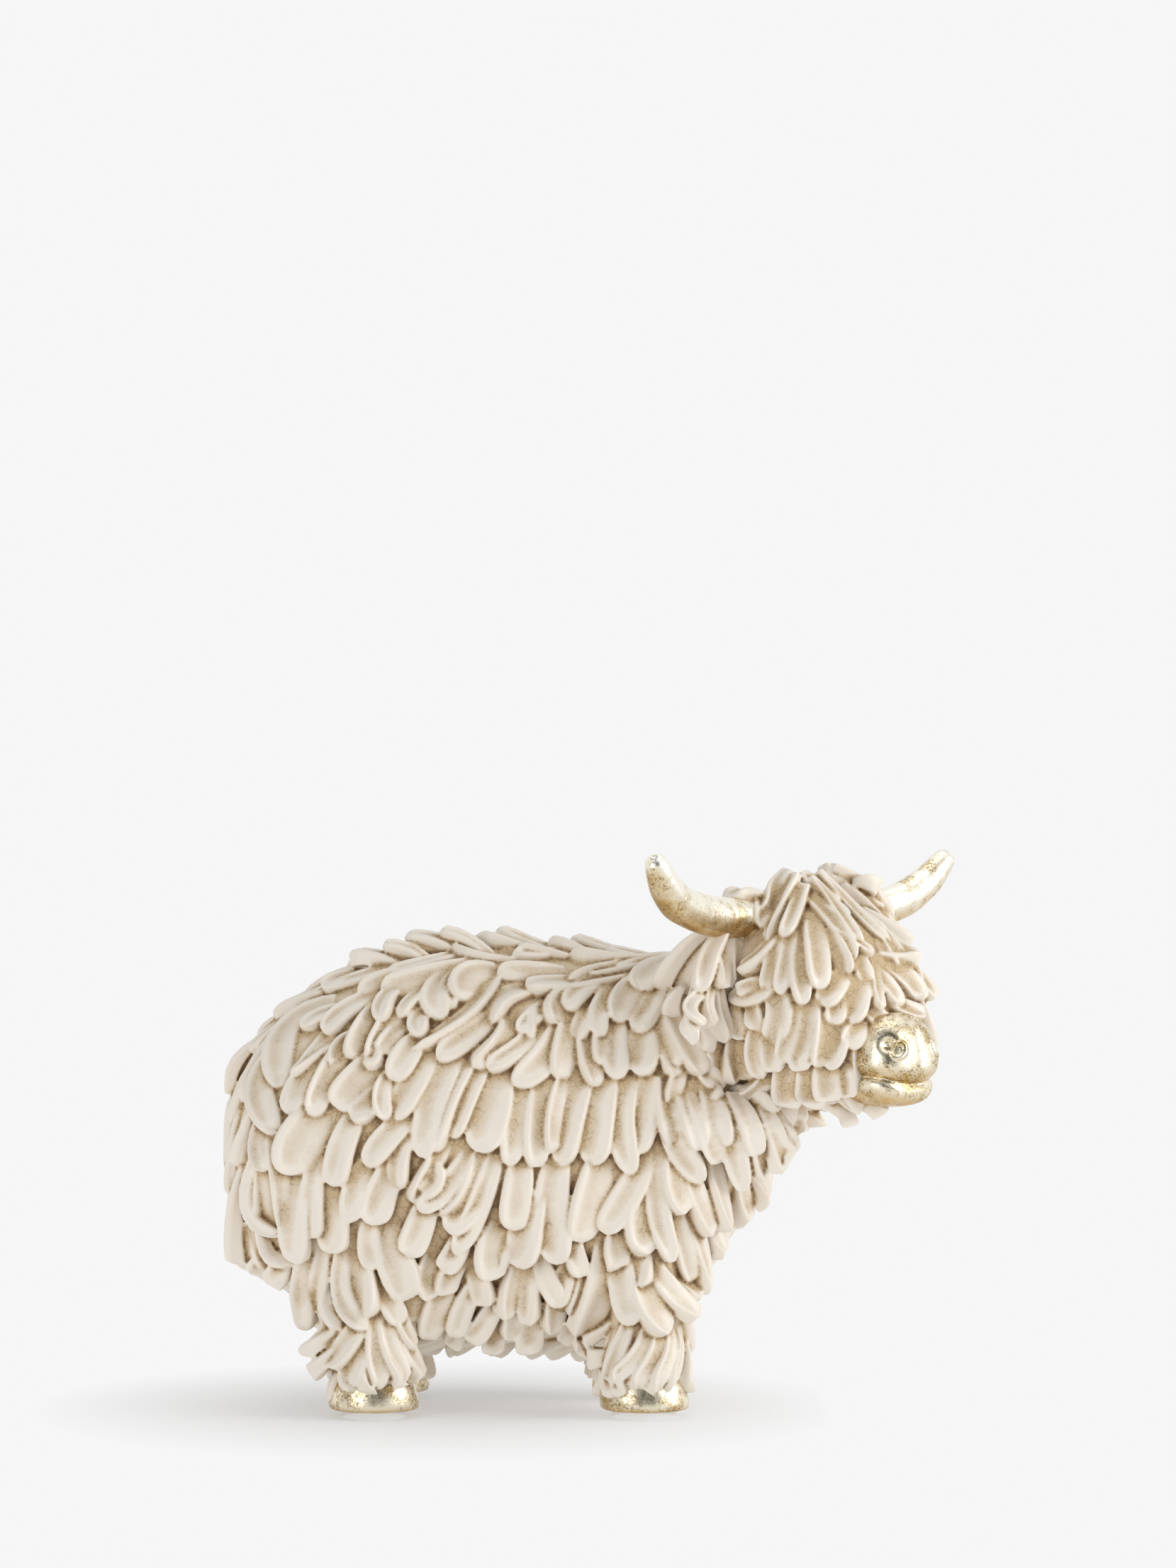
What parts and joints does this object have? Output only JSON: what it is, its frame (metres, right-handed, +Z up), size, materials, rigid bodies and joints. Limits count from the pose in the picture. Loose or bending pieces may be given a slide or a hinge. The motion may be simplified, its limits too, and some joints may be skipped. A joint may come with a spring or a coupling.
{
  "type": "animal figurine",
  "caption": "Long-haired standing cow figurine in cream cast resin, head turned to its right, with sculpted locks and gold-leafed horns, muzzle and hooves.",
  "frame": {"origin": "on the surface that the figurine stands on, under the middle of its whole box", "axes": "+X from the rump to the chest, +Y to the animal's left, +Z up"},
  "size_m": [0.2324, 0.1178, 0.1745],
  "materials": {
    "cream_resin": "matte",
    "gilded_resin": "gloss",
    "pin_steel": "satin",
    "clear_pad": "satin"
  },
  "bodies": {
    "root": {"belly_plug": "cream_resin", "body_casting": "cream_resin", "coat_belly": "cream_resin", "coat_cheek_left": "cream_resin", "coat_cheek_right": "cream_resin", "coat_chest": "cream_resin", "coat_chin": "cream_resin", "coat_crown": "cream_resin", "coat_ear_left": "cream_resin", "coat_ear_right": "cream_resin", "coat_fringe": "cream_resin", "coat_leg_front_left": "cream_resin", "coat_leg_front_right": "cream_resin", "coat_leg_rear_left": "cream_resin", "coat_leg_rear_right": "cream_resin", "coat_lower_left": "cream_resin", "coat_lower_right": "cream_resin", "coat_neck_left": "cream_resin", "coat_neck_right": "cream_resin", "coat_ridge": "cream_resin", "coat_rump": "cream_resin", "coat_upper_left": "cream_resin", "coat_upper_right": "cream_resin", "ear_left": "cream_resin", "ear_right": "cream_resin", "head_casting": "cream_resin", "hoof_front_left": "gilded_resin", "hoof_front_right": "gilded_resin", "hoof_rear_left": "gilded_resin", "hoof_rear_right": "gilded_resin", "horn_left": "gilded_resin", "horn_pin_left": "pin_steel", "horn_pin_right": "pin_steel", "horn_right": "gilded_resin", "muzzle": "gilded_resin", "pad_front_left": "clear_pad", "pad_front_right": "clear_pad", "pad_rear_left": "clear_pad", "pad_rear_right": "clear_pad", "tail": "cream_resin"}
  },
  "joints": []
}
